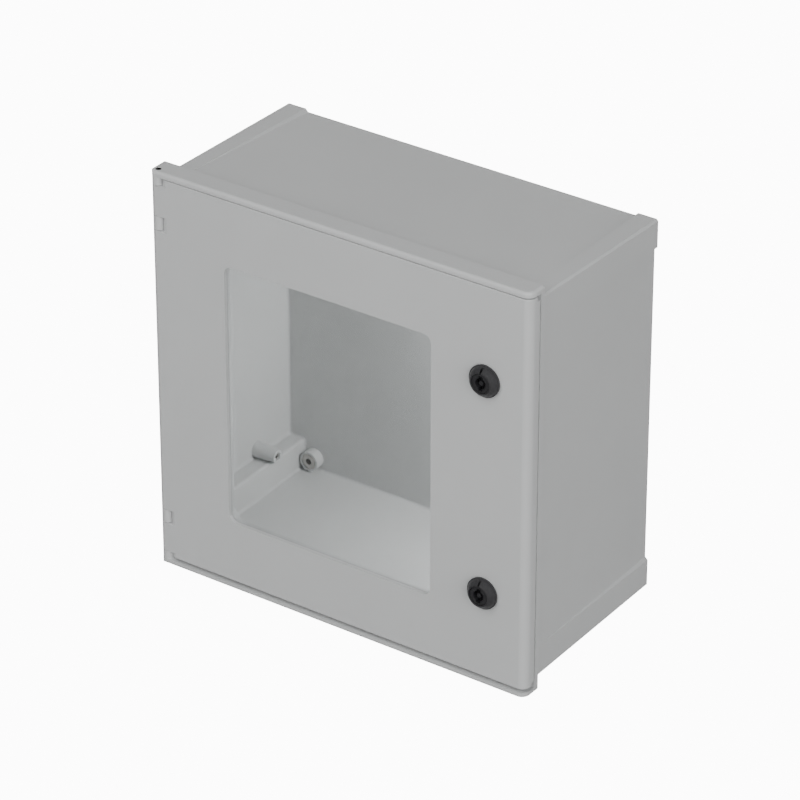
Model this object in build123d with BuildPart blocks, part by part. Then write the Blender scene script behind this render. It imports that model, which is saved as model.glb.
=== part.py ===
# Wall-mount enclosure: a moulded polyester box with a glazed door, two quarter-turn locks and
# two hinge pins. Millimetres, +Z up. The wall is the plane Y = 0 and the front faces -Y, so a
# "reach" is always a distance out from the wall. The origin is the centre of the rear face.
import os

from build123d import *

os.makedirs("parts", exist_ok=True)

# Overall box
width = 400.0
height = 400.0
depth = 200.0

# Shell: drafted sides that lean in from the front collar to the wall
collar_depth = 20.6
flange_thickness = 5.0
side_step = 2.8
top_step = 11.0
side_draft = 2.2
top_draft = 6.6
shell_corner = 3.0
side_wall = 4.5
top_wall = 4.7
rear_recess = 8.0
rear_wall = 4.0
cavity_edge = 2.5

# Lips above and below the door
lip_thickness = 5.2
lip_plan_corner = 9.0
lip_left_corner = 2.0
lip_edge = 3.0

# Corner posts with the wall-fixing wells
fixing_inset_x = 17.0
fixing_inset_z = 27.0
fixing_hole = 8.5
well_width = 13.4
well_length = 24.0
well_floor = 10.0
post_step = 2.8
post_length_x = 23.4
post_length_z = 30.0
post_chamfer = 1.8
column_wall = 2.6
column_draft_x = 0.8
column_draft_z = 2.8
outline_corner = 3.0
rear_rim = 4.0

# Sealing rib of the housing and gasket channel of the door
seal_inset = 17.0
rib_thickness = 3.0
rib_height = 5.8
mouth_step = 1.5
well_margin = 0.3
gasket_inner_room = 2.0
gasket_outer_room = 1.4
channel_wall = 2.1
channel_back_gap = 3.8
gasket_gap = 0.3

# Plate pillars on the rear wall and bosses on the side walls, with their inserts
pillar_diameter = 19.4
pillar_height = 10.0
pillar_gap = 1.8
pillar_web = 4.0
pillar_web_drop = 3.0
insert_diameter = 13.0
insert_length = 9.5
insert_collar = 16.0
insert_collar_depth = 1.6
insert_thread = 6.0
boss_reach = 61.5
boss_inset = 56.0
boss_length = 24.0
boss_root = 17.0
boss_end = 12.5
boss_embed = 1.5
side_insert_diameter = 6.6
side_insert_length = 10.0
side_insert_depth = 1.6
side_thread = 4.0
star_points = 5
star_tip = 2.0

# Door
door_gap_back = 0.8
door_gap_top = 1.4
door_gap_bottom = 4.0
panel_thickness = 3.6
rim_thickness = 3.4
door_side_round = 8.0
door_inner_round = 4.0
door_edge = 0.8
corner_relief = 4.0
corner_relief_depth = 4.5

# Hinges
pin_diameter = 5.6
pin_recess = 6.0
pin_chamfer = 0.5
pin_clearance = 0.08
pin_floor = 2.0
barrel_radius = 5.8
barrel_inset = 0.9
near_knuckle = 8.5
far_knuckle = 13.5
door_knuckle = 29.3
knuckle_gap = 0.5
notch_gap = 1.0
notch_bevel = 5.0
notch_bevel_depth = 2.4

# Window
window_left = 80.5
window_right = 100.5
window_top = 70.5
window_corner = 8.0
frame_corner = 14.0
pane_lap = 9.0
pane_thickness = 3.0
pane_corner = 6.0
gasket_thickness = 1.2
gasket_lap = 7.0
gasket_reveal = 0.3
fence_gap = 0.5
fence_wall = 2.0
fence_drop = 1.0
frame_thickness = 3.5
frame_margin = 5.0
frame_bead = 3.0
frame_bead_height = 2.5
screw_boss = 8.0
screw_boss_merge = 1.0
screw_shank = 3.9
screw_hole_room = 0.5
screw_bite = 5.5
screw_head = 7.6
screw_head_height = 2.6
screw_head_edge = 0.8
screw_slot = 1.0
screw_slot_length = 4.4
screw_slot_depth = 1.3
screw_side_rows = 3
screw_side_pitch = 110.0
screw_top_columns = 2
screw_top_pitch = 160.0

# Locks
lock_inset_x = 44.5
lock_inset_z = 95.0
lock_hole = 22.5
lock_hole_flats = 20.1
lock_fit = 0.15
lock_seat = 34.0
lock_seat_depth = 3.0
washer_thickness = 0.8
washer_diameter = 29.0
escutcheon = 30.5
escutcheon_rim = 1.9
escutcheon_shoulder = 29.2
escutcheon_knee = 25.9
escutcheon_knee_rise = 3.05
escutcheon_front = 21.0
escutcheon_height = 8.2
pointer_width = 2.0
pointer_depth = 4.0
rotor_head = 17.6
rotor_gap = 0.5
rotor_recess = 0.5
rotor_head_length = 6.9
rotor_shaft = 12.0
rotor_clearance = 0.08
rotor_end_gap = 0.1
rotor_square = 8.0
cup_diameter = 10.4
cup_depth = 5.5
bit_width = 4.2
bit_length = 14.0
key_pin = 4.2
key_pin_step = 1.0
ring_section = 2.0
ring_place = 6.0
ring_sides = 8
barrel_end_gap = 0.9
nut_across = 27.0
nut_thickness = 6.0
nut_edge = 0.8
cam_thickness = 3.0
cam_gap = 0.5
cam_reach = 30.5
cam_width = 14.0
cam_hub = 9.5
cam_tip = 3.0
cam_square_room = 0.1
cam_screw_shank = 5.0
cam_screw_length = 12.0
cam_screw_across = 8.0
cam_screw_head = 3.6
cam_screw_flange = 11.0
cam_screw_flange_depth = 1.2

# Places worked out from the sizes above, as reaches from the wall
collar_back = depth - collar_depth
flange_front = collar_back + flange_thickness
cavity_floor = rear_recess + rear_wall
door_back = flange_front + door_gap_back
panel_back = depth - panel_thickness
rib_front = flange_front + rib_height
gasket_back = rib_front + gasket_gap
channel_back = flange_front + channel_back_gap
pane_front = panel_back - gasket_thickness
pane_back = pane_front - pane_thickness
frame_back = pane_back - frame_thickness
seat_back = panel_back - lock_seat_depth
escutcheon_back = depth + washer_thickness
rim_front = escutcheon_back + escutcheon_rim
lock_front = depth + escutcheon_height
rotor_front = lock_front - rotor_recess
rotor_shoulder = rotor_front - rotor_head_length
cam_front = collar_back - cam_gap
cam_back = cam_front - cam_thickness
barrel_end = cam_front + barrel_end_gap
barrel_outer = lock_hole / 2 - lock_fit
head_bore = rotor_head / 2 + rotor_gap
shaft_bore = rotor_shaft / 2 + rotor_clearance
bore_shoulder = rotor_shoulder - rotor_end_gap
ring_reach = rotor_shoulder - ring_place
groove_floor = rotor_shaft / 2 - ring_section

lock_x = width / 2 - lock_inset_x
lock_height = height / 2 - lock_inset_z

# Half sizes of the shell at the collar and at the wall
shell_front_x = width / 2 - side_step
shell_front_z = height / 2 - top_step
shell_back_x = shell_front_x - side_draft
shell_back_z = shell_front_z - top_draft

# Corner posts: outer half sizes at the wall, and where they end along each side
post_x = shell_back_x + post_step
post_z = shell_back_z + post_step
post_inner_x = post_x - post_length_x
post_inner_z = post_z - post_length_z

# Wall-fixing holes, their wells and the columns round them
fixing_x = width / 2 - fixing_inset_x
fixing_z = height / 2 - fixing_inset_z
well_inner_x = fixing_x - well_width / 2
well_outer_z = fixing_z + well_width / 2
well_inner_z = well_outer_z - well_length
column_front_x = well_inner_x - column_wall
column_front_z = well_inner_z - column_wall
column_back_x = column_front_x - column_draft_x
column_back_z = column_front_z - column_draft_z

# The seal runs inside the wells: half sizes of the rib and the corner notches it makes
seal_x = width / 2 - seal_inset
seal_z = height / 2 - seal_inset
notch_x = well_inner_x - well_margin
notch_z = well_inner_z - well_margin

# Lips, door outline and hinge line
lip_inner = height / 2 - lip_thickness
door_top = lip_inner - door_gap_top
door_bottom = -lip_inner + door_gap_bottom
pin_x = -width / 2 + barrel_inset + barrel_radius
pin_reach = depth - barrel_radius
barrel_left = pin_x - barrel_radius
notch_edge = pin_x + barrel_radius + notch_gap
door_right = width / 2
near_end = lip_inner - near_knuckle
far_start = near_end - knuckle_gap - door_knuckle - knuckle_gap
far_end = far_start - far_knuckle
pin_top = height / 2 - pin_recess
pin_bottom = far_end + pin_floor

# Window opening, pane, fence, screws and pillars
window_width = width - window_left - window_right
window_height = height - 2 * window_top
window_centre = (window_left - window_right) / 2
pane_width = window_width + 2 * pane_lap
pane_height = window_height + 2 * pane_lap
fence_width = pane_width + 2 * (fence_gap + fence_wall)
fence_height = pane_height + 2 * (fence_gap + fence_wall)
screw_x = fence_width / 2 + screw_boss / 2 - screw_boss_merge
screw_z = fence_height / 2 + screw_boss / 2 - screw_boss_merge
frame_width = 2 * (screw_x + frame_margin)
frame_height = 2 * (screw_z + frame_margin)
shell_floor_x = shell_back_x + side_draft * cavity_floor / collar_back - side_wall
shell_floor_z = shell_back_z + top_draft * cavity_floor / collar_back - top_wall
pillar_x = column_back_x - pillar_gap - pillar_diameter / 2
pillar_z = shell_floor_z - pillar_gap - pillar_diameter / 2
boss_wall_x = shell_back_x + side_draft * boss_reach / collar_back - side_wall
boss_end_x = boss_wall_x - boss_length
boss_height = height / 2 - boss_inset


def out_from_wall(reach, x=0.0, z=0.0):
    """Plane parallel to the wall and facing the front, that far out from it."""
    return Plane(origin=(x, -reach, z), x_dir=(1, 0, 0), z_dir=(0, -1, 0))


def turned(x, z):
    """Plane for a profile that turns about a line square to the wall: radius, then -reach."""
    return Plane(origin=(x, 0, z), x_dir=(1, 0, 0), z_dir=(0, 0, 1))


def drafted_block(back_reach, back_x, back_z, front_reach, front_x, front_z):
    """Block between two reaches whose four flat sides lean from one pair of half sizes to the other."""
    with BuildPart() as block:
        with BuildSketch(Plane.XY):
            with BuildLine():
                Polyline(
                    (back_x, -back_reach), (front_x, -front_reach),
                    (-front_x, -front_reach), (-back_x, -back_reach), close=True,
                )
            make_face()
        extrude(amount=max(back_z, front_z), both=True)
        with BuildSketch(Plane.YZ):
            with BuildLine():
                Polyline(
                    (-back_reach, back_z), (-front_reach, front_z),
                    (-front_reach, -front_z), (-back_reach, -back_z), close=True,
                )
            make_face()
        extrude(amount=max(back_x, front_x), both=True, mode=Mode.INTERSECT)
    return block.part


def long_edges(block):
    """The edges of a drafted block that run out from the wall."""
    ends = block.faces().sort_by(Axis.Y)
    return block.edges() - ends[0].edges() - ends[-1].edges()


def notched_outline(half_x, half_z, corner_x, corner_z):
    """Rectangle whose corners step in round the corner columns."""
    with BuildSketch(Plane.XY) as outline:
        with BuildLine():
            Polyline(
                (half_x, corner_z), (corner_x, corner_z), (corner_x, half_z),
                (-corner_x, half_z), (-corner_x, corner_z), (-half_x, corner_z),
                (-half_x, -corner_z), (-corner_x, -corner_z), (-corner_x, -half_z),
                (corner_x, -half_z), (corner_x, -corner_z), (half_x, -corner_z),
                close=True,
            )
        make_face()
        fillet(outline.vertices(), outline_corner)
    return outline.sketch


def seal_outline(offset_out):
    """The rib's outer outline, grown or shrunk by one amount all round."""
    return notched_outline(
        seal_x + offset_out, seal_z + offset_out, notch_x + offset_out, notch_z + offset_out
    )


def at_frame_screws(radius):
    """A circle at each screw of the window's retaining frame."""
    with BuildSketch(Plane.XY) as circles:
        with GridLocations(2 * screw_x, screw_side_pitch, 2, screw_side_rows):
            Circle(radius)
        with GridLocations(screw_top_pitch, 2 * screw_z, screw_top_columns, 2):
            Circle(radius)
    return circles.sketch


def save(part, name):
    """Label a finished piece and write it."""
    part.label = name
    export_step(part, f"parts/{name}.step")


# The space inside the housing, widening from the rear wall to the collar
with BuildPart() as cavity:
    add(drafted_block(
        cavity_floor, shell_floor_x, column_back_z,
        collar_back, shell_front_x - side_wall, column_front_z,
    ))
    add(drafted_block(
        cavity_floor, column_back_x, shell_floor_z,
        collar_back, column_front_x, shell_front_z - top_wall,
    ))
    fillet(long_edges(cavity), outline_corner)
    fillet(cavity.faces().sort_by(Axis.Y)[-1].edges(), cavity_edge)

# Corner posts: they lean with the shell and end in a slope on its sides
with BuildPart() as posts:
    add(drafted_block(0, post_x, post_z, collar_back, shell_front_x, shell_front_z))
    chamfer(long_edges(posts), post_chamfer)
    with BuildSketch(out_from_wall(0)):
        with BuildLine():
            Polyline(
                (post_inner_x, post_inner_z), (shell_back_x, post_inner_z),
                (width / 2, post_inner_z + width / 2 - shell_back_x), (width / 2, height / 2),
                (post_inner_x + height / 2 - shell_back_z, height / 2), (post_inner_x, shell_back_z),
                close=True,
            )
        make_face()
        mirror(about=Plane.YZ)
        mirror(about=Plane.XZ)
    extrude(amount=collar_back, mode=Mode.INTERSECT)

# Housing: shell, posts, flange and lips first, then everything that is cut out of them
with BuildPart() as housing:
    add(drafted_block(0, shell_back_x, shell_back_z, collar_back, shell_front_x, shell_front_z))
    fillet(long_edges(housing), shell_corner)
    add(posts.part)
    with BuildSketch(out_from_wall(collar_back)):
        Rectangle(width, height)
    extrude(amount=flange_thickness)
    # The lips are one plan shape at the top and at the bottom of the collar
    for lip_base in (lip_inner, -height / 2):
        with BuildSketch(Plane.XY.offset(lip_base)) as lip:
            with BuildLine():
                Polyline(
                    (-width / 2, -collar_back), (width / 2, -collar_back),
                    (width / 2, -depth), (-width / 2, -depth), close=True,
                )
            make_face()
            front_corners = lip.vertices().group_by(Axis.Y)[0].sort_by(Axis.X)
            fillet(front_corners[-1], lip_plan_corner)
            front_corners = lip.vertices().group_by(Axis.Y)[0].sort_by(Axis.X)
            fillet(front_corners[0], lip_left_corner)
        extrude(amount=lip_thickness)
    rims = housing.edges().filter_by(lambda e: e.center().Y < -flange_front - lip_edge)
    fillet(rims.group_by(Axis.Z)[-1] + rims.group_by(Axis.Z)[0], lip_edge)
    # Mouth, cavity, rear recess and the wells for the wall fixings
    add(cavity.part, mode=Mode.SUBTRACT)
    with BuildSketch(out_from_wall(collar_back)):
        add(seal_outline(-rib_thickness - mouth_step))
    extrude(amount=flange_thickness, mode=Mode.SUBTRACT)
    with BuildSketch(out_from_wall(0)):
        add(notched_outline(shell_back_x - rear_rim, shell_back_z - rear_rim, column_back_x, column_back_z))
    extrude(amount=rear_recess, mode=Mode.SUBTRACT)
    with BuildSketch(out_from_wall(well_floor)):
        with GridLocations(2 * fixing_x, well_outer_z + well_inner_z, 2, 2):
            SlotOverall(well_length, well_width, rotation=90)
    extrude(amount=flange_front - well_floor, mode=Mode.SUBTRACT)
    with BuildSketch(out_from_wall(0)):
        with GridLocations(2 * fixing_x, 2 * fixing_z, 2, 2):
            Circle(fixing_hole / 2)
    extrude(amount=well_floor, mode=Mode.SUBTRACT)
    # Sealing rib on the flange
    with BuildSketch(out_from_wall(flange_front)):
        add(seal_outline(0))
        add(seal_outline(-rib_thickness), mode=Mode.SUBTRACT)
    extrude(amount=rib_height)
    # Plate pillars, each tied to its column and to the wall beside it by a web
    with BuildSketch(out_from_wall(cavity_floor)):
        with GridLocations(2 * pillar_x, 2 * pillar_z, 2, 2):
            Circle(pillar_diameter / 2)
    extrude(amount=pillar_height)
    web_x = column_back_x + column_wall / 2 - pillar_x
    web_z = shell_floor_z + top_wall / 2 - pillar_z
    with BuildSketch(out_from_wall(cavity_floor)):
        with GridLocations(2 * pillar_x + web_x, 2 * pillar_z, 2, 2):
            Rectangle(web_x, pillar_web)
        with GridLocations(2 * pillar_x, 2 * pillar_z + web_z, 2, 2):
            Rectangle(pillar_web, web_z)
    extrude(amount=pillar_height - pillar_web_drop)
    with BuildSketch(out_from_wall(cavity_floor + pillar_height)):
        with GridLocations(2 * pillar_x, 2 * pillar_z, 2, 2):
            Circle(insert_diameter / 2)
    extrude(amount=-insert_length, mode=Mode.SUBTRACT)
    with BuildSketch(out_from_wall(cavity_floor + pillar_height)):
        with GridLocations(2 * pillar_x, 2 * pillar_z, 2, 2):
            Circle(insert_collar / 2)
    extrude(amount=-insert_collar_depth, mode=Mode.SUBTRACT)
    # Side bosses: tapered posts with a star-shaped mouth
    for side in (-1, 1):
        for up in (-1, 1):
            boss_root_x = side * (boss_wall_x + boss_embed)
            boss_plane = Plane(
                origin=(boss_root_x, -boss_reach, up * boss_height), x_dir=(0, 1, 0), z_dir=(-side, 0, 0)
            )
            with BuildSketch(boss_plane):
                Circle(boss_root / 2)
            with BuildSketch(boss_plane.offset(boss_length + boss_embed)):
                Circle(boss_end / 2)
            loft()
            with BuildSketch(boss_plane.offset(boss_length + boss_embed)):
                Circle(side_insert_diameter / 2)
            extrude(amount=-side_insert_length - side_insert_depth, mode=Mode.SUBTRACT)
            with BuildSketch(boss_plane.offset(boss_length + boss_embed)):
                with PolarLocations(side_insert_diameter / 2, star_points, start_angle=90):
                    Circle(star_tip / 2)
            extrude(amount=-side_insert_depth, mode=Mode.SUBTRACT)
    # Hinge knuckles, two for each pin, and the bore that each pin is pressed into
    for up in (-1, 1):
        for low, high in ((near_end, lip_inner), (far_end, far_start)):
            start = low if up > 0 else -high
            with BuildSketch(Plane.XY.offset(start)):
                with Locations((pin_x, -pin_reach)):
                    Circle(barrel_radius)
                with Locations((pin_x, -(pin_reach + flange_front) / 2)):
                    Rectangle(2 * barrel_radius, pin_reach - flange_front)
            extrude(amount=high - low)
        bore_start = pin_bottom if up > 0 else -height / 2
        with BuildSketch(Plane.XY.offset(bore_start)):
            with Locations((pin_x, -pin_reach)):
                Circle(pin_diameter / 2)
        extrude(amount=height / 2 - pin_bottom, mode=Mode.SUBTRACT)
save(housing.part, "housing")

# Hinge pins: plain steel pins that stop short of the lip's outer face
for name, pin_base in (("upper_hinge_pin", pin_bottom), ("lower_hinge_pin", -pin_top)):
    with BuildPart() as hinge_pin:
        with BuildSketch(Plane.XY.offset(pin_base)):
            with Locations((pin_x, -pin_reach)):
                Circle(pin_diameter / 2)
        extrude(amount=pin_top - pin_bottom)
        chamfer(hinge_pin.edges().filter_by(GeomType.CIRCLE), pin_chamfer)
    save(hinge_pin.part, name)

# Threaded inserts of the plate pillars, each with a flat collar
with BuildPart() as plate_inserts:
    with BuildSketch(out_from_wall(cavity_floor + pillar_height - insert_length)):
        with GridLocations(2 * pillar_x, 2 * pillar_z, 2, 2):
            Circle(insert_diameter / 2)
    extrude(amount=insert_length)
    with BuildSketch(out_from_wall(cavity_floor + pillar_height - insert_collar_depth)):
        with GridLocations(2 * pillar_x, 2 * pillar_z, 2, 2):
            Circle(insert_collar / 2)
    extrude(amount=insert_collar_depth / 2)
    with BuildSketch(out_from_wall(cavity_floor + pillar_height - insert_length)):
        with GridLocations(2 * pillar_x, 2 * pillar_z, 2, 2):
            Circle(insert_thread / 2)
    extrude(amount=insert_length, mode=Mode.SUBTRACT)
save(plate_inserts.part, "plate_inserts")

# Threaded inserts of the side bosses, sunk below the star-shaped mouths
with BuildPart() as side_inserts:
    for side in (-1, 1):
        insert_x = side * (boss_end_x + side_insert_depth)
        insert_plane = Plane(origin=(insert_x, -boss_reach, 0), x_dir=(0, 1, 0), z_dir=(side, 0, 0))
        with BuildSketch(insert_plane):
            with GridLocations(0, 2 * boss_height, 1, 2):
                Circle(side_insert_diameter / 2)
                Circle(side_thread / 2, mode=Mode.SUBTRACT)
        extrude(amount=side_insert_length)
save(side_inserts.part, "side_inserts")

# The hollow behind the door's front panel
with BuildPart() as door_hollow:
    hollow_left = barrel_left + rim_thickness
    hollow_right = door_right - rim_thickness
    hollow_top = door_top - rim_thickness
    hollow_bottom = door_bottom + rim_thickness
    with BuildSketch(
        out_from_wall(door_back, (hollow_left + hollow_right) / 2, (hollow_top + hollow_bottom) / 2)
    ):
        Rectangle(hollow_right - hollow_left, hollow_top - hollow_bottom)
    extrude(amount=panel_back - door_back)
    free_edge = door_hollow.edges().filter_by(Axis.Z).group_by(Axis.Y)[0].sort_by(Axis.X)[-1]
    fillet(free_edge, door_inner_round)

# Door: a shallow tray, open to the rear, with its gasket channel, window and knuckles
with BuildPart() as door:
    door_plane = out_from_wall(door_back, (barrel_left + door_right) / 2, (door_top + door_bottom) / 2)
    with BuildSketch(door_plane):
        Rectangle(door_right - barrel_left, door_top - door_bottom)
    extrude(amount=depth - door_back)
    free_edge = door.edges().filter_by(Axis.Z).group_by(Axis.Y)[0].sort_by(Axis.X)[-1]
    fillet(free_edge, door_side_round)
    hinge_edge = door.edges().filter_by(Axis.Z).group_by(Axis.Y)[0].sort_by(Axis.X)[0]
    fillet(hinge_edge, barrel_radius)
    front_edges = door.faces().sort_by(Axis.Y)[0].edges().filter_by(Axis.X)
    fillet(front_edges, door_edge)
    add(door_hollow.part, mode=Mode.SUBTRACT)
    with BuildSketch(out_from_wall(door_back)):
        with Locations((door_right, door_top), (door_right, door_bottom)):
            Rectangle(2 * corner_relief, 2 * corner_relief)
    extrude(amount=corner_relief_depth, mode=Mode.SUBTRACT)
    # Channel walls for the gasket
    for outer, inner in (
        (gasket_outer_room + channel_wall, gasket_outer_room),
        (-rib_thickness - gasket_inner_room, -rib_thickness - gasket_inner_room - channel_wall),
    ):
        with BuildSketch(out_from_wall(channel_back)):
            add(seal_outline(outer))
            add(seal_outline(inner), mode=Mode.SUBTRACT)
        extrude(amount=panel_back - channel_back)
    # Barrel of the hinge side: solid knuckles, and a rounded rear edge all the way down
    for up in (-1, 1):
        start = up * (near_end - knuckle_gap - door_knuckle / 2) - door_knuckle / 2
        with BuildSketch(Plane.XY.offset(start)):
            with Locations((pin_x, -pin_reach)):
                Circle(barrel_radius)
            with Locations(((pin_x + notch_edge) / 2, -(depth + pin_reach - barrel_radius) / 2)):
                Rectangle(notch_edge - pin_x, depth - pin_reach + barrel_radius)
        extrude(amount=door_knuckle)
    with BuildSketch(Plane.XY.offset(door_bottom)):
        with BuildLine():
            Polyline(
                (barrel_left, -door_back), (pin_x, -door_back), (pin_x, -pin_reach + barrel_radius),
            )
            CenterArc((pin_x, -pin_reach), barrel_radius, 90, 90)
            Line((barrel_left, -pin_reach), (barrel_left, -door_back))
        make_face()
    extrude(amount=door_top - door_bottom, mode=Mode.SUBTRACT)
    # Notches for the housing's knuckles, and the running bore round each pin
    for up in (-1, 1):
        for low, high in (
            (near_end - knuckle_gap, height / 2),
            (far_end - knuckle_gap, far_start + knuckle_gap),
        ):
            start = low if up > 0 else -high
            with BuildSketch(Plane.XY.offset(start)):
                with BuildLine():
                    Polyline(
                        (-width / 2, -depth), (notch_edge + notch_bevel, -depth),
                        (notch_edge, notch_bevel_depth - depth), (notch_edge, -door_back),
                        (-width / 2, -door_back), close=True,
                    )
                make_face()
            extrude(amount=high - low, mode=Mode.SUBTRACT)
        bore_start = pin_bottom if up > 0 else -pin_top
        with BuildSketch(Plane.XY.offset(bore_start)):
            with Locations((pin_x, -pin_reach)):
                Circle(pin_diameter / 2 + pin_clearance)
        extrude(amount=pin_top - pin_bottom, mode=Mode.SUBTRACT)
    # Window: opening, the fence that centres the pane, and the bosses for the frame's screws
    with BuildSketch(out_from_wall(panel_back, window_centre)):
        RectangleRounded(fence_width, fence_height, pane_corner + fence_gap + fence_wall)
        RectangleRounded(
            pane_width + 2 * fence_gap, pane_height + 2 * fence_gap, pane_corner + fence_gap,
            mode=Mode.SUBTRACT,
        )
    extrude(amount=pane_back + fence_drop - panel_back)
    with BuildSketch(out_from_wall(panel_back, window_centre)):
        add(at_frame_screws(screw_boss / 2))
    extrude(amount=pane_back - panel_back)
    with BuildSketch(out_from_wall(pane_back, window_centre)):
        add(at_frame_screws(screw_shank / 2))
    extrude(amount=screw_bite, mode=Mode.SUBTRACT)
    with BuildSketch(out_from_wall(panel_back, window_centre)):
        RectangleRounded(window_width, window_height, window_corner)
    extrude(amount=panel_thickness, mode=Mode.SUBTRACT)
    # Lock seats with their flatted holes
    with BuildSketch(out_from_wall(seat_back, lock_x)):
        with GridLocations(0, 2 * lock_height, 1, 2):
            Circle(lock_seat / 2)
    extrude(amount=lock_seat_depth)
    with BuildSketch(out_from_wall(seat_back, lock_x)):
        with GridLocations(0, 2 * lock_height, 1, 2):
            Circle(lock_hole / 2)
        with GridLocations(0, 2 * lock_height, 1, 2):
            Rectangle(lock_hole_flats, lock_hole, mode=Mode.INTERSECT)
    extrude(amount=depth - seat_back, mode=Mode.SUBTRACT)
save(door.part, "door")

# Window pane, clear through and through
with BuildPart() as window_pane:
    with BuildSketch(out_from_wall(pane_back, window_centre)):
        RectangleRounded(pane_width, pane_height, pane_corner)
    extrude(amount=pane_thickness)
save(window_pane.part, "window_pane")

# Rubber strip between the pane and the door's panel
with BuildPart() as window_gasket:
    with BuildSketch(out_from_wall(pane_front, window_centre)):
        RectangleRounded(window_width + 2 * gasket_lap, window_height + 2 * gasket_lap, pane_corner)
        RectangleRounded(
            window_width + 2 * gasket_reveal, window_height + 2 * gasket_reveal, window_corner,
            mode=Mode.SUBTRACT,
        )
    extrude(amount=gasket_thickness)
save(window_gasket.part, "window_gasket")

# Retaining frame behind the pane, with a bead round its opening
with BuildPart() as window_frame:
    with BuildSketch(out_from_wall(frame_back, window_centre)):
        RectangleRounded(frame_width, frame_height, frame_corner)
        add(at_frame_screws((screw_shank + screw_hole_room) / 2), mode=Mode.SUBTRACT)
    extrude(amount=frame_thickness)
    with BuildSketch(out_from_wall(frame_back - frame_bead_height, window_centre)):
        RectangleRounded(
            window_width + 2 * frame_bead, window_height + 2 * frame_bead, frame_corner + frame_bead
        )
    extrude(amount=frame_bead_height)
    with BuildSketch(out_from_wall(frame_back - frame_bead_height, window_centre)):
        RectangleRounded(window_width, window_height, frame_corner)
    extrude(amount=frame_bead_height + frame_thickness, mode=Mode.SUBTRACT)
save(window_frame.part, "window_frame")

# Pan-head screws of the retaining frame, one solid each
with BuildPart() as window_screws:
    with BuildSketch(out_from_wall(frame_back - screw_head_height, window_centre)):
        add(at_frame_screws(screw_head / 2))
    extrude(amount=screw_head_height)
    chamfer(window_screws.faces().group_by(Axis.Y)[-1].edges(), screw_head_edge)
    with BuildSketch(out_from_wall(frame_back, window_centre)):
        add(at_frame_screws(screw_shank / 2))
    extrude(amount=frame_thickness + screw_bite)
    with BuildSketch(out_from_wall(frame_back - screw_head_height, window_centre)):
        for turn in (0, 90):
            with GridLocations(2 * screw_x, screw_side_pitch, 2, screw_side_rows):
                Rectangle(screw_slot_length, screw_slot, rotation=turn)
            with GridLocations(screw_top_pitch, 2 * screw_z, screw_top_columns, 2):
                Rectangle(screw_slot_length, screw_slot, rotation=turn)
    extrude(amount=screw_slot_depth, mode=Mode.SUBTRACT)
save(window_screws.part, "window_screws")

# Foamed seal that lines the door's channel
with BuildPart() as door_gasket:
    with BuildSketch(out_from_wall(gasket_back)):
        add(seal_outline(gasket_outer_room))
        add(seal_outline(-rib_thickness - gasket_inner_room), mode=Mode.SUBTRACT)
    extrude(amount=panel_back - gasket_back)
save(door_gasket.part, "door_gasket")

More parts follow.
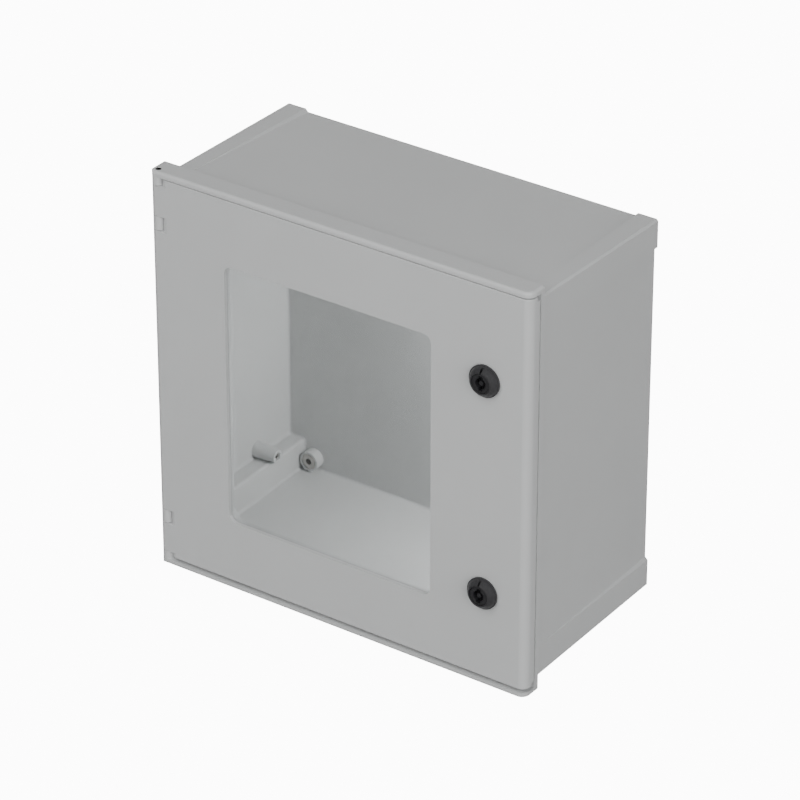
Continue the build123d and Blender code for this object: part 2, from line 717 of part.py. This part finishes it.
# Locks: each turns about a line square to the door, and its cam points up when it is open
for place, lock_z in (("upper", lock_height), ("lower", -lock_height)):
    lock_axis = Axis((lock_x, 0, lock_z), (0, 1, 0))
    lock_plane = turned(lock_x, lock_z)

    # Flat washer under the escutcheon
    with BuildPart() as lock_washer:
        with BuildSketch(out_from_wall(depth, lock_x, lock_z)):
            Circle(washer_diameter / 2)
            Circle(lock_hole / 2, mode=Mode.SUBTRACT)
        extrude(amount=washer_thickness)
    save(lock_washer.part, f"{place}_lock_washer")

    # Escutcheon and barrel in one, bored for the rotor, with the pointer notch at the top
    with BuildPart() as lock_body:
        with BuildSketch(lock_plane):
            with BuildLine():
                Polyline(
                    (escutcheon_front / 2, -lock_front), (head_bore, -lock_front),
                    (head_bore, -bore_shoulder), (shaft_bore, -bore_shoulder),
                    (shaft_bore, -barrel_end), (barrel_outer, -barrel_end),
                    (barrel_outer, -escutcheon_back), (escutcheon / 2, -escutcheon_back),
                    (escutcheon / 2, -rim_front), (escutcheon_shoulder / 2, -rim_front),
                    (escutcheon_knee / 2, -rim_front - escutcheon_knee_rise), close=True,
                )
            make_face()
        revolve(axis=lock_axis)
        with BuildSketch(out_from_wall(barrel_end, lock_x, lock_z)):
            Rectangle(lock_hole, lock_hole)
            Rectangle(lock_hole_flats - 2 * lock_fit, lock_hole, mode=Mode.SUBTRACT)
        extrude(amount=escutcheon_back - barrel_end, mode=Mode.SUBTRACT)
        with BuildSketch(out_from_wall(lock_front - pointer_depth, lock_x, lock_z)):
            with Locations((0, (head_bore + escutcheon_shoulder / 2) / 2)):
                Rectangle(pointer_width, escutcheon_shoulder / 2 - head_bore)
        extrude(amount=pointer_depth, mode=Mode.SUBTRACT)
    save(lock_body.part, f"{place}_lock_body")

    # Rotor: cup for a double-bit key in front, O-ring groove, and a square end for the cam
    with BuildPart() as lock_rotor:
        with BuildSketch(lock_plane):
            with BuildLine():
                Polyline(
                    (0, -rotor_front), (rotor_head / 2, -rotor_front),
                    (rotor_head / 2, -rotor_shoulder), (rotor_shaft / 2, -rotor_shoulder),
                    (rotor_shaft / 2, -ring_reach - ring_section / 2),
                    (groove_floor, -ring_reach - ring_section / 2),
                    (groove_floor, -ring_reach + ring_section / 2),
                    (rotor_shaft / 2, -ring_reach + ring_section / 2),
                    (rotor_shaft / 2, -cam_front), (0, -cam_front), close=True,
                )
            make_face()
        revolve(axis=lock_axis)
        with BuildSketch(out_from_wall(cam_back, lock_x, lock_z)):
            Rectangle(rotor_square, rotor_square)
        extrude(amount=cam_thickness)
        with BuildSketch(out_from_wall(cam_back, lock_x, lock_z)):
            Circle(cam_screw_shank / 2)
        extrude(amount=cam_screw_length, mode=Mode.SUBTRACT)
        with BuildSketch(out_from_wall(rotor_front - cup_depth, lock_x, lock_z)):
            Circle(cup_diameter / 2)
            Rectangle(bit_width, bit_length)
        extrude(amount=cup_depth, mode=Mode.SUBTRACT)
        with BuildSketch(out_from_wall(rotor_front - cup_depth, lock_x, lock_z)):
            Circle(key_pin / 2)
        extrude(amount=cup_depth - key_pin_step)
    save(lock_rotor.part, f"{place}_lock_rotor")

    # O-ring in the rotor's groove
    with BuildPart() as lock_ring:
        with BuildSketch(lock_plane):
            with Locations((groove_floor + ring_section / 2, -ring_reach)):
                RegularPolygon(
                    ring_section / 2, ring_sides, major_radius=False, rotation=180 / ring_sides
                )
        revolve(axis=lock_axis)
    save(lock_ring.part, f"{place}_lock_ring")

    # Hexagon nut that clamps the lock against the inside of the door
    with BuildPart() as lock_nut:
        with BuildSketch(out_from_wall(seat_back - nut_thickness, lock_x, lock_z)):
            RegularPolygon(nut_across / 2, 6, major_radius=False)
            Circle(lock_hole / 2, mode=Mode.SUBTRACT)
        extrude(amount=nut_thickness)
        chamfer(lock_nut.faces().sort_by(Axis.Y)[-1].outer_wire().edges(), nut_edge)
    save(lock_nut.part, f"{place}_lock_nut")

    # Cam: flat steel tongue with a square hole, pointing up at rest
    with BuildPart() as lock_cam:
        with BuildSketch(out_from_wall(cam_back, lock_x, lock_z)) as cam_outline:
            with Locations((0, cam_reach / 2)):
                Rectangle(cam_width, cam_reach)
            fillet(cam_outline.vertices().group_by(Axis.Y)[-1], cam_tip)
            Circle(cam_hub)
            Rectangle(rotor_square + cam_square_room, rotor_square + cam_square_room, mode=Mode.SUBTRACT)
        extrude(amount=cam_thickness)
    save(lock_cam.part, f"{place}_lock_cam")

    # Flanged hexagon screw that holds the cam on the rotor
    with BuildPart() as cam_screw:
        with BuildSketch(out_from_wall(cam_back, lock_x, lock_z)):
            Circle(cam_screw_shank / 2)
        extrude(amount=cam_screw_length)
        with BuildSketch(out_from_wall(cam_back - cam_screw_flange_depth, lock_x, lock_z)):
            Circle(cam_screw_flange / 2)
        extrude(amount=cam_screw_flange_depth)
        with BuildSketch(out_from_wall(cam_back - cam_screw_head, lock_x, lock_z)):
            RegularPolygon(cam_screw_across / 2, 6, major_radius=False)
        extrude(amount=cam_screw_head)
    save(cam_screw.part, f"{place}_cam_screw")
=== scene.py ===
import math

import bmesh
import bpy
from mathutils import Matrix, Vector


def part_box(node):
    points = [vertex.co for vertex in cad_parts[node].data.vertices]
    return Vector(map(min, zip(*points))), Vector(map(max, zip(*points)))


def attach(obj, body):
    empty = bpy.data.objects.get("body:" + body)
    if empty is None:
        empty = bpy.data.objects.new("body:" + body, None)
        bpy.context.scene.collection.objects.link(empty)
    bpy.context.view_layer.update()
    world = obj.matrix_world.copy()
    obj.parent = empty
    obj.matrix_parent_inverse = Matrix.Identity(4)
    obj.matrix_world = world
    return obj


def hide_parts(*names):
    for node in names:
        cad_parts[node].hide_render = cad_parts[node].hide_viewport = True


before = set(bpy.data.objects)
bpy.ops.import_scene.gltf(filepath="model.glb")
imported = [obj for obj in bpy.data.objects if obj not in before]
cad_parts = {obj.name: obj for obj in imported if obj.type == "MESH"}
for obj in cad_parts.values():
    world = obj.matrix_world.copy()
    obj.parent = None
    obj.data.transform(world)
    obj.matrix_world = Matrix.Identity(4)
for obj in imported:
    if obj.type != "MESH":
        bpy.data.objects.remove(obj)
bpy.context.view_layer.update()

# Camera: a long lens, well above the box and to its right, as the photograph was taken. Its place
# and angles were fitted to the straight edges of the box in the photograph.
look_azimuth = math.radians(35.226)
look_elevation = math.radians(29.676)
camera_data = bpy.data.cameras.new("camera")
camera_data.lens = 205.5
camera_data.clip_end = 30
camera = bpy.data.objects.new("camera", camera_data)
camera.location = (2.0235, -2.9700, 1.9893)
camera.rotation_euler = (math.pi / 2 - look_elevation, 0, look_azimuth)
bpy.context.scene.collection.objects.link(camera)
bpy.context.scene.camera = camera

# Studio: a pale floor and room, as in a light tent. The camera sees them white, but they shed
# little light of their own, so that the lamps set the tones.
seen_white = 12.0
room_light = 0.16
floor_reach = 12.0
floor_level = -0.2005
world = bpy.data.worlds.new("studio")
world.use_nodes = True
room = world.node_tree.nodes["Background"]
room.inputs["Color"].default_value = (1.0, 1.0, 1.0, 1.0)
room.inputs["Strength"].default_value = room_light
bpy.context.scene.world = world
room_seen = world.node_tree.nodes.new("ShaderNodeBackground")
room_seen.inputs["Strength"].default_value = seen_white
room_path = world.node_tree.nodes.new("ShaderNodeLightPath")
room_mix = world.node_tree.nodes.new("ShaderNodeMixShader")
world.node_tree.links.new(room_path.outputs["Is Camera Ray"], room_mix.inputs["Fac"])
world.node_tree.links.new(room.outputs["Background"], room_mix.inputs[1])
world.node_tree.links.new(room_seen.outputs["Background"], room_mix.inputs[2])
world.node_tree.links.new(room_mix.outputs["Shader"], world.node_tree.nodes["World Output"].inputs["Surface"])

floor_bm = bmesh.new()
bmesh.ops.create_grid(
    floor_bm, x_segments=1, y_segments=1, size=floor_reach,
    matrix=Matrix.Translation((0.0, 0.0, floor_level)),
)
floor_mesh = bpy.data.meshes.new("floor")
floor_bm.to_mesh(floor_mesh)
floor_bm.free()
floor = bpy.data.objects.new("floor", floor_mesh)
bpy.context.scene.collection.objects.link(floor)
floor_material = bpy.data.materials.new("pale_floor")
floor_material.use_nodes = True
floor_nodes, floor_links = floor_material.node_tree.nodes, floor_material.node_tree.links
floor_shader = floor_nodes["Principled BSDF"]
floor_shader.inputs["Base Color"].default_value = (0.35, 0.35, 0.35, 1.0)
floor_shader.inputs["Roughness"].default_value = 0.9
floor_seen = floor_nodes.new("ShaderNodeEmission")
floor_seen.inputs["Strength"].default_value = seen_white
floor_path = floor_nodes.new("ShaderNodeLightPath")
floor_mix = floor_nodes.new("ShaderNodeMixShader")
floor_links.new(floor_path.outputs["Is Camera Ray"], floor_mix.inputs["Fac"])
floor_links.new(floor_shader.outputs["BSDF"], floor_mix.inputs[1])
floor_links.new(floor_seen.outputs["Emission"], floor_mix.inputs[2])
floor_links.new(floor_mix.outputs["Shader"], floor_nodes["Material Output"].inputs["Surface"])
floor_mesh.materials.append(floor_material)

# Lamps: one for the front and the top, one for the right side, a weaker one for the back and the
# left side, and a small one beside the right wall in the box for the far wall and the floor inside.
for name, place, aim, size, power in (
    ("front_lamp", (-0.25, -3.50, 3.56), (0.0, 0.0, 0.0), 4.0, 174.0),
    ("side_lamp", (4.10, -2.40, 1.60), (0.0, 0.0, 0.0), 4.0, 173.0),
    ("rear_lamp", (-2.80, 3.40, 0.55), (0.0, 0.0, 0.0), 4.0, 70.0),
    ("inside_lamp", (0.155, -0.048, 0.065), (-0.19, -0.085, -0.17), 0.05, 0.88),
):
    lamp_data = bpy.data.lights.new(name, "AREA")
    lamp_data.size = size
    lamp_data.energy = power
    lamp = bpy.data.objects.new(name, lamp_data)
    lamp.location = place
    lamp.rotation_euler = (Vector(aim) - Vector(place)).to_track_quat("-Z", "Y").to_euler()
    lamp.visible_camera = False
    lamp.visible_glossy = False
    lamp.visible_transmission = False
    bpy.context.scene.collection.objects.link(lamp)


# Housing: one moulding of glass-filled polyester, open at the front, with wells for the wall
# screws in its corner posts. The moulding's edges are all eased by a fraction of a millimetre.
def moulded_grain():
    """Node group: faint colour mottle, spark-eroded grain and long flow waves of a moulded skin."""
    group = bpy.data.node_groups.new("moulded_grain", "ShaderNodeTree")
    for name, kind, in_out, value in (
        ("Place", "NodeSocketVector", "INPUT", None),
        ("Colour", "NodeSocketColor", "INPUT", (0.6, 0.6, 0.6, 1.0)),
        ("Mottle", "NodeSocketFloat", "INPUT", 0.03),
        ("Roughness", "NodeSocketFloat", "INPUT", 0.45),
        ("Grain", "NodeSocketFloat", "INPUT", 0.06),
        ("Colour", "NodeSocketColor", "OUTPUT", None),
        ("Roughness", "NodeSocketFloat", "OUTPUT", None),
        ("Height", "NodeSocketFloat", "OUTPUT", None),
    ):
        socket = group.interface.new_socket(name, in_out=in_out, socket_type=kind)
        if value is not None:
            socket.default_value = value
    nodes, links = group.nodes, group.links
    taken, given = nodes.new("NodeGroupInput"), nodes.new("NodeGroupOutput")

    flow = nodes.new("ShaderNodeTexNoise")
    flow.inputs["Scale"].default_value = 14.0
    flow.inputs["Detail"].default_value = 3.0
    flow.inputs["Distortion"].default_value = 0.6
    grain = nodes.new("ShaderNodeTexNoise")
    grain.inputs["Scale"].default_value = 900.0
    grain.inputs["Detail"].default_value = 2.0
    specks = nodes.new("ShaderNodeTexVoronoi")
    specks.inputs["Scale"].default_value = 1500.0
    for texture in (flow, grain, specks):
        links.new(taken.outputs["Place"], texture.inputs["Vector"])

    centred = nodes.new("ShaderNodeMath")
    centred.operation = "SUBTRACT"
    centred.inputs[1].default_value = 0.5
    links.new(flow.outputs["Fac"], centred.inputs[0])
    swing = nodes.new("ShaderNodeMath")
    swing.operation = "MULTIPLY"
    links.new(centred.outputs[0], swing.inputs[0])
    links.new(taken.outputs["Mottle"], swing.inputs[1])
    shift = nodes.new("ShaderNodeMath")
    shift.operation = "MULTIPLY_ADD"
    shift.inputs[1].default_value = 2.0
    shift.inputs[2].default_value = 1.0
    links.new(swing.outputs[0], shift.inputs[0])
    tinted = nodes.new("ShaderNodeVectorMath")
    tinted.operation = "SCALE"
    links.new(taken.outputs["Colour"], tinted.inputs[0])
    links.new(shift.outputs[0], tinted.inputs["Scale"])
    links.new(tinted.outputs[0], given.inputs["Colour"])

    rough = nodes.new("ShaderNodeMath")
    rough.operation = "MULTIPLY_ADD"
    rough.inputs[1].default_value = 0.12
    links.new(centred.outputs[0], rough.inputs[0])
    links.new(taken.outputs["Roughness"], rough.inputs[2])
    links.new(rough.outputs[0], given.inputs["Roughness"])

    pits = nodes.new("ShaderNodeMath")
    pits.operation = "MULTIPLY_ADD"
    pits.inputs[1].default_value = 0.4
    links.new(specks.outputs["Distance"], pits.inputs[0])
    links.new(grain.outputs["Fac"], pits.inputs[2])
    depth = nodes.new("ShaderNodeMath")
    depth.operation = "MULTIPLY"
    links.new(pits.outputs[0], depth.inputs[0])
    links.new(taken.outputs["Grain"], depth.inputs[1])
    links.new(depth.outputs[0], given.inputs["Height"])
    return group


grain_group = moulded_grain()


def moulded_plastic(name, colour, roughness=0.45, mottle=0.03, grain=0.06):
    """Plastic with the grain of its mould; grain is the relief's depth in millimetres."""
    material = bpy.data.materials.new(name)
    material.use_nodes = True
    nodes, links = material.node_tree.nodes, material.node_tree.links
    shader = nodes["Principled BSDF"]
    place = nodes.new("ShaderNodeTexCoord")
    skin = nodes.new("ShaderNodeGroup")
    skin.node_tree = grain_group
    skin.inputs["Colour"].default_value = (*colour, 1.0)
    skin.inputs["Mottle"].default_value = mottle
    skin.inputs["Roughness"].default_value = roughness
    skin.inputs["Grain"].default_value = grain
    relief = nodes.new("ShaderNodeBump")
    relief.inputs["Distance"].default_value = 0.001
    relief.inputs["Strength"].default_value = 0.5
    links.new(place.outputs["Object"], skin.inputs["Place"])
    links.new(skin.outputs["Colour"], shader.inputs["Base Color"])
    links.new(skin.outputs["Roughness"], shader.inputs["Roughness"])
    links.new(skin.outputs["Height"], relief.inputs["Height"])
    links.new(relief.outputs["Normal"], shader.inputs["Normal"])
    shader.inputs["IOR"].default_value = 1.5
    return material


weld_gap = 0.000002
flat_angle = math.radians(0.5)
sharp_angle = math.radians(32)
eased_angle = math.radians(38)
flat_weight = 80


def eased(node, name, material, width, body, segments=2):
    """A copy of a CAD node, welded, with its sharp edges rounded off; it stands for that node."""
    welded = bmesh.new()
    welded.from_mesh(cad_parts[node].data)
    bmesh.ops.remove_doubles(welded, verts=welded.verts, dist=weld_gap)
    bmesh.ops.dissolve_limit(
        welded, angle_limit=flat_angle, verts=welded.verts, edges=welded.edges,
        delimit={"NORMAL"}, use_dissolve_boundaries=False,
    )
    mesh = bpy.data.meshes.new(name)
    welded.to_mesh(mesh)
    welded.free()
    for layer in ("custom_normal", "sharp_face"):
        if layer in mesh.attributes:
            mesh.attributes.remove(mesh.attributes[layer])
    mesh.shade_smooth()
    mesh.set_sharp_from_angle(angle=sharp_angle)
    mesh.materials.clear()
    mesh.materials.append(material)
    piece = bpy.data.objects.new(name, mesh)
    bpy.context.scene.collection.objects.link(piece)
    edges = piece.modifiers.new("eased_edges", "BEVEL")
    edges.limit_method = "ANGLE"
    edges.angle_limit = eased_angle
    edges.width = width
    edges.segments = segments
    edges.use_clamp_overlap = True
    flats = piece.modifiers.new("flat_faces_shade_flat", "WEIGHTED_NORMAL")
    flats.mode = "FACE_AREA"
    flats.weight = flat_weight
    flats.keep_sharp = True
    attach(piece, body)
    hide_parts(node)
    return piece


housing_grey = moulded_plastic("housing_polyester", (0.60, 0.61, 0.61))
housing_shell = eased("housing", "housing_shell", housing_grey, 0.0004, "housing")
# The lips' left front corners are turned about the hinge pins, nearly flush with the knuckles, by
# cuts that touch a circle round the pins' line. Angles are in degrees, from the box's right.
turn_radius = 0.00585
first_cut, last_cut, cut_step = 190, 260, 10
cut_snap = 0.000001
pin_low, pin_high = (Vector(corner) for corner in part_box("upper_hinge_pin"))
pin_line = (pin_low + pin_high) / 2
shell = bmesh.new()
shell.from_mesh(housing_shell.data)
for degrees in range(first_cut, last_cut + 1, cut_step):
    turned = math.radians(degrees)
    outward = Vector((math.cos(turned), math.sin(turned), 0.0))
    cut = bmesh.ops.bisect_plane(
        shell, geom=shell.verts[:] + shell.edges[:] + shell.faces[:], dist=cut_snap,
        plane_co=pin_line + turn_radius * outward, plane_no=outward, clear_outer=True,
    )["geom_cut"]
    rims = [e for e in cut if isinstance(e, bmesh.types.BMEdge) and e.is_boundary]
    bmesh.ops.holes_fill(shell, edges=rims, sides=0)
bmesh.ops.recalc_face_normals(shell, faces=shell.faces)
shell.to_mesh(housing_shell.data)
shell.free()
housing_shell.data.shade_smooth()
housing_shell.data.set_sharp_from_angle(angle=sharp_angle)


# Threaded inserts: turned brass with a nickel plating, pressed into the plate pillars and the side
# bosses. Only their collars and bores show.
def plated_surface():
    """Node group: cloudy plating over a turned or blanked metal, with fine random scratches."""
    group = bpy.data.node_groups.new("plated_surface", "ShaderNodeTree")
    for name, kind, in_out, value in (
        ("Place", "NodeSocketVector", "INPUT", None),
        ("Colour", "NodeSocketColor", "INPUT", (0.6, 0.6, 0.6, 1.0)),
        ("Clouds", "NodeSocketFloat", "INPUT", 0.12),
        ("Roughness", "NodeSocketFloat", "INPUT", 0.35),
        ("Relief", "NodeSocketFloat", "INPUT", 0.02),
        ("Colour", "NodeSocketColor", "OUTPUT", None),
        ("Roughness", "NodeSocketFloat", "OUTPUT", None),
        ("Height", "NodeSocketFloat", "OUTPUT", None),
    ):
        socket = group.interface.new_socket(name, in_out=in_out, socket_type=kind)
        if value is not None:
            socket.default_value = value
    nodes, links = group.nodes, group.links
    taken, given = nodes.new("NodeGroupInput"), nodes.new("NodeGroupOutput")

    clouds = nodes.new("ShaderNodeTexNoise")
    clouds.inputs["Scale"].default_value = 130.0
    clouds.inputs["Detail"].default_value = 4.0
    drawn_out = nodes.new("ShaderNodeMapping")
    drawn_out.inputs["Rotation"].default_value = (0.4, 0.7, 0.3)
    drawn_out.inputs["Scale"].default_value = (1.0, 1.0, 14.0)
    scratches = nodes.new("ShaderNodeTexNoise")
    scratches.inputs["Scale"].default_value = 320.0
    scratches.inputs["Detail"].default_value = 3.0
    links.new(taken.outputs["Place"], clouds.inputs["Vector"])
    links.new(taken.outputs["Place"], drawn_out.inputs["Vector"])
    links.new(drawn_out.outputs["Vector"], scratches.inputs["Vector"])

    patch = nodes.new("ShaderNodeMath")
    patch.operation = "SUBTRACT"
    patch.inputs[1].default_value = 0.5
    links.new(clouds.outputs["Fac"], patch.inputs[0])
    swing = nodes.new("ShaderNodeMath")
    swing.operation = "MULTIPLY"
    links.new(patch.outputs[0], swing.inputs[0])
    links.new(taken.outputs["Clouds"], swing.inputs[1])
    shade = nodes.new("ShaderNodeMath")
    shade.operation = "MULTIPLY_ADD"
    shade.inputs[1].default_value = 2.0
    shade.inputs[2].default_value = 1.0
    links.new(swing.outputs[0], shade.inputs[0])
    tinted = nodes.new("ShaderNodeVectorMath")
    tinted.operation = "SCALE"
    links.new(taken.outputs["Colour"], tinted.inputs[0])
    links.new(shade.outputs[0], tinted.inputs["Scale"])
    links.new(tinted.outputs[0], given.inputs["Colour"])

    rough = nodes.new("ShaderNodeMath")
    rough.operation = "MULTIPLY_ADD"
    rough.inputs[1].default_value = 0.25
    links.new(patch.outputs[0], rough.inputs[0])
    links.new(taken.outputs["Roughness"], rough.inputs[2])
    links.new(rough.outputs[0], given.inputs["Roughness"])

    depth = nodes.new("ShaderNodeMath")
    depth.operation = "MULTIPLY"
    links.new(scratches.outputs["Fac"], depth.inputs[0])
    links.new(taken.outputs["Relief"], depth.inputs[1])
    links.new(depth.outputs[0], given.inputs["Height"])
    return group


plating_group = plated_surface()


def plated_metal(name, colour, roughness=0.35, clouds=0.12, relief=0.02):
    """Metal with a thin plating; relief is the depth of its marks in millimetres."""
    material = bpy.data.materials.new(name)
    material.use_nodes = True
    nodes, links = material.node_tree.nodes, material.node_tree.links
    shader = nodes["Principled BSDF"]
    shader.inputs["Metallic"].default_value = 1.0
    place = nodes.new("ShaderNodeTexCoord")
    skin = nodes.new("ShaderNodeGroup")
    skin.node_tree = plating_group
    skin.inputs["Colour"].default_value = (*colour, 1.0)
    skin.inputs["Clouds"].default_value = clouds
    skin.inputs["Roughness"].default_value = roughness
    skin.inputs["Relief"].default_value = relief
    marks = nodes.new("ShaderNodeBump")
    marks.inputs["Distance"].default_value = 0.001
    marks.inputs["Strength"].default_value = 0.4
    links.new(place.outputs["Object"], skin.inputs["Place"])
    links.new(skin.outputs["Colour"], shader.inputs["Base Color"])
    links.new(skin.outputs["Roughness"], shader.inputs["Roughness"])
    links.new(skin.outputs["Height"], marks.inputs["Height"])
    links.new(marks.outputs["Normal"], shader.inputs["Normal"])
    return material


nickel = plated_metal("nickel_plating", (0.50, 0.49, 0.47), roughness=0.34)
eased("plate_inserts", "pillar_inserts", nickel, 0.0002, "housing")
eased("side_inserts", "boss_inserts", nickel, 0.0002, "housing")

# Hinge pins: steel, pushed in through the lips. They are coloured black and their heads are raised to end
# just below the lips' outer faces, so each pin hole shows a dark disc: painted shade of the deep holes.
# The pins' black is painted shade for the pin holes, not a known finish of the pins.
pin_hole_shade_black = plated_metal("pin_hole_painted_shade", (0.030, 0.030, 0.032), roughness=0.55, clouds=0.2)
head_rise = 0.0057
head_depth = 0.002
for pin, up in (("upper_hinge_pin", 1), ("lower_hinge_pin", -1)):
    pin_steel = eased(pin, f"{pin}_steel", pin_hole_shade_black, 0.0002, "housing")
    pin_low, pin_high = (Vector(corner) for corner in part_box(pin))
    pin_end = pin_high.z if up > 0 else pin_low.z
    shank = bmesh.new()
    shank.from_mesh(pin_steel.data)
    head_verts = [v for v in shank.verts if abs(v.co.z - pin_end) < head_depth]
    # Raising the heads brings the black of the painted shade up into the mouths of the holes.
    bmesh.ops.translate(shank, vec=(0.0, 0.0, up * head_rise), verts=head_verts)
    shank.to_mesh(pin_steel.data)
    shank.free()

# Door: the same polyester, a shallow tray whose free edge is well rounded. The back edge of its
# rim stands a little further off the housing's flange here, which leaves a shadow line.
door_grey = moulded_plastic("door_polyester", (0.60, 0.61, 0.61))
door_panel = eased("door", "door_panel", door_grey, 0.0003, "door")
rim_back = -0.1852
shadow_gap = 0.0010
same_plane = 0.00002
tray = bmesh.new()
tray.from_mesh(door_panel.data)
rim_verts = [v for v in tray.verts if abs(v.co.y - rim_back) < same_plane]
bmesh.ops.translate(tray, vec=(0.0, -shadow_gap, 0.0), verts=rim_verts)
tray.to_mesh(door_panel.data)
tray.free()

# Door seal: polyurethane foamed into the door's channel, dark and matt with closed fine cells. With
# the door shut it faces the sealing rib on the housing's flange.
foam = bpy.data.materials.new("foamed_seal")
foam.use_nodes = True
foam_nodes, foam_links = foam.node_tree.nodes, foam.node_tree.links
foam_shader = foam_nodes["Principled BSDF"]
foam_shader.inputs["IOR"].default_value = 1.45
foam_place = foam_nodes.new("ShaderNodeTexCoord")
cells = foam_nodes.new("ShaderNodeTexVoronoi")
cells.inputs["Scale"].default_value = 1100.0
swells = foam_nodes.new("ShaderNodeTexNoise")
swells.inputs["Scale"].default_value = 60.0
swells.inputs["Detail"].default_value = 3.0
foam_shade = foam_nodes.new("ShaderNodeMapRange")
foam_shade.inputs["To Min"].default_value = 0.045
foam_shade.inputs["To Max"].default_value = 0.12
foam_rough = foam_nodes.new("ShaderNodeMapRange")
foam_rough.inputs["To Min"].default_value = 0.72
foam_rough.inputs["To Max"].default_value = 0.92
foam_height = foam_nodes.new("ShaderNodeMath")
foam_height.operation = "MULTIPLY_ADD"
foam_height.inputs[1].default_value = 0.3
foam_relief = foam_nodes.new("ShaderNodeBump")
foam_relief.inputs["Distance"].default_value = 0.0004
foam_relief.inputs["Strength"].default_value = 0.7
foam_links.new(foam_place.outputs["Object"], cells.inputs["Vector"])
foam_links.new(foam_place.outputs["Object"], swells.inputs["Vector"])
foam_links.new(swells.outputs["Fac"], foam_shade.inputs["Value"])
foam_links.new(foam_shade.outputs["Result"], foam_shader.inputs["Base Color"])
foam_links.new(cells.outputs["Distance"], foam_rough.inputs["Value"])
foam_links.new(foam_rough.outputs["Result"], foam_shader.inputs["Roughness"])
foam_links.new(cells.outputs["Distance"], foam_height.inputs[0])
foam_links.new(swells.outputs["Fac"], foam_height.inputs[2])
foam_links.new(foam_height.outputs[0], foam_relief.inputs["Height"])
foam_links.new(foam_relief.outputs["Normal"], foam_shader.inputs["Normal"])
eased("door_gasket", "door_seal", foam, 0.0008, "door", segments=3)

# Window seal: a flat strip of pale rubber between the pane and the door's panel. Its inner edge
# stands just back from the window's edge, all the way round.
seal_rubber = moulded_plastic(
    "pane_seal_rubber", (0.42, 0.43, 0.43), roughness=0.75, mottle=0.05, grain=0.05,
)
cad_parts["window_gasket"].data.materials.clear()
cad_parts["window_gasket"].data.materials.append(seal_rubber)

# Retaining frame of the pane: the same grey in a smoother plastic, screwed to the door's bosses.
# Its opening stands back from the window's edge, so that no strip of it shows through the pane.
frame_grey = moulded_plastic("frame_plastic", (0.56, 0.57, 0.57), roughness=0.4, grain=0.03)
pane_frame = eased("window_frame", "pane_frame", frame_grey, 0.0003, "door")
zinc = plated_metal("zinc_plating", (0.58, 0.59, 0.61), roughness=0.36, clouds=0.16)
pane_lap = 0.009
frame_bead = 0.003
bead_reach = 1.2 * frame_bead
stand_back = 0.0032
pane_low, pane_high = (Vector(corner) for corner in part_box("window_pane"))
window_middle = (pane_low + pane_high) / 2
window_half = (pane_high - pane_low) / 2 - Vector((pane_lap, 0.0, pane_lap))
holder = bmesh.new()
holder.from_mesh(pane_frame.data)
round_opening = [
    v for v in holder.verts
    if abs(v.co.x - window_middle.x) < window_half.x + bead_reach
    and abs(v.co.z - window_middle.z) < window_half.z + bead_reach
]
bmesh.ops.scale(
    holder, vec=(1 + stand_back / window_half.x, 1.0, 1 + stand_back / window_half.z),
    space=Matrix.Translation(-window_middle), verts=round_opening,
)
holder.to_mesh(pane_frame.data)
holder.free()
eased("window_screws", "frame_screws", zinc, 0.0002, "door")

# Pane: clear acrylic sheet, 3 mm thick, with polished faces, centred by the door's fence and held by
# the retaining frame. It lets little of the lamps' direct light in, to match the photograph's tones.
acrylic = bpy.data.materials.new("acrylic")
acrylic.use_nodes = True
pane_nodes, pane_links = acrylic.node_tree.nodes, acrylic.node_tree.links
pane_shader = pane_nodes["Principled BSDF"]
pane_shader.inputs["Base Color"].default_value = (0.97, 0.98, 0.98, 1.0)
pane_shader.inputs["Roughness"].default_value = 0.02
pane_shader.inputs["IOR"].default_value = 1.49
pane_shader.inputs["Transmission Weight"].default_value = 1.0
lamp_light = pane_nodes.new("ShaderNodeBsdfTransparent")
lamp_light.inputs["Color"].default_value = (0.15, 0.15, 0.15, 1.0)
pane_mix = pane_nodes.new("ShaderNodeMixShader")
pane_path = pane_nodes.new("ShaderNodeLightPath")
pane_links.new(pane_path.outputs["Is Shadow Ray"], pane_mix.inputs["Fac"])
pane_links.new(pane_shader.outputs["BSDF"], pane_mix.inputs[1])
pane_links.new(lamp_light.outputs["BSDF"], pane_mix.inputs[2])
pane_links.new(pane_mix.outputs["Shader"], pane_nodes["Material Output"].inputs["Surface"])
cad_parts["window_pane"].data.materials.clear()
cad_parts["window_pane"].data.materials.append(acrylic)

# Locks: black glass-filled escutcheons with a coated die-cast insert, clamped by a zinc-plated nut
# over a thin rubber washer, with an O-ring on the insert and a flat steel cam screwed to its end.
lock_black = moulded_plastic("lock_polyamide", (0.035, 0.035, 0.037), roughness=0.38, mottle=0.1, grain=0.03)
insert_black = moulded_plastic("lock_coating", (0.018, 0.018, 0.020), roughness=0.42, mottle=0.1, grain=0.02)
black_rubber = moulded_plastic("black_rubber", (0.025, 0.025, 0.026), roughness=0.7, mottle=0.15, grain=0.04)
for level in ("upper", "lower"):
    turning = f"{level}_lock_insert"
    eased(f"{level}_lock_body", f"{level}_escutcheon", lock_black, 0.0003, "door")
    eased(f"{level}_lock_rotor", f"{level}_key_cup", insert_black, 0.0002, turning)
    eased(f"{level}_lock_nut", f"{level}_clamp_nut", zinc, 0.0003, "door")
    eased(f"{level}_lock_cam", f"{level}_steel_cam", zinc, 0.0004, turning)
    eased(f"{level}_cam_screw", f"{level}_flanged_screw", zinc, 0.0003, turning)
    for sealing in (f"{level}_lock_washer", f"{level}_lock_ring"):
        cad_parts[sealing].data.materials.clear()
        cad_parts[sealing].data.materials.append(black_rubber)
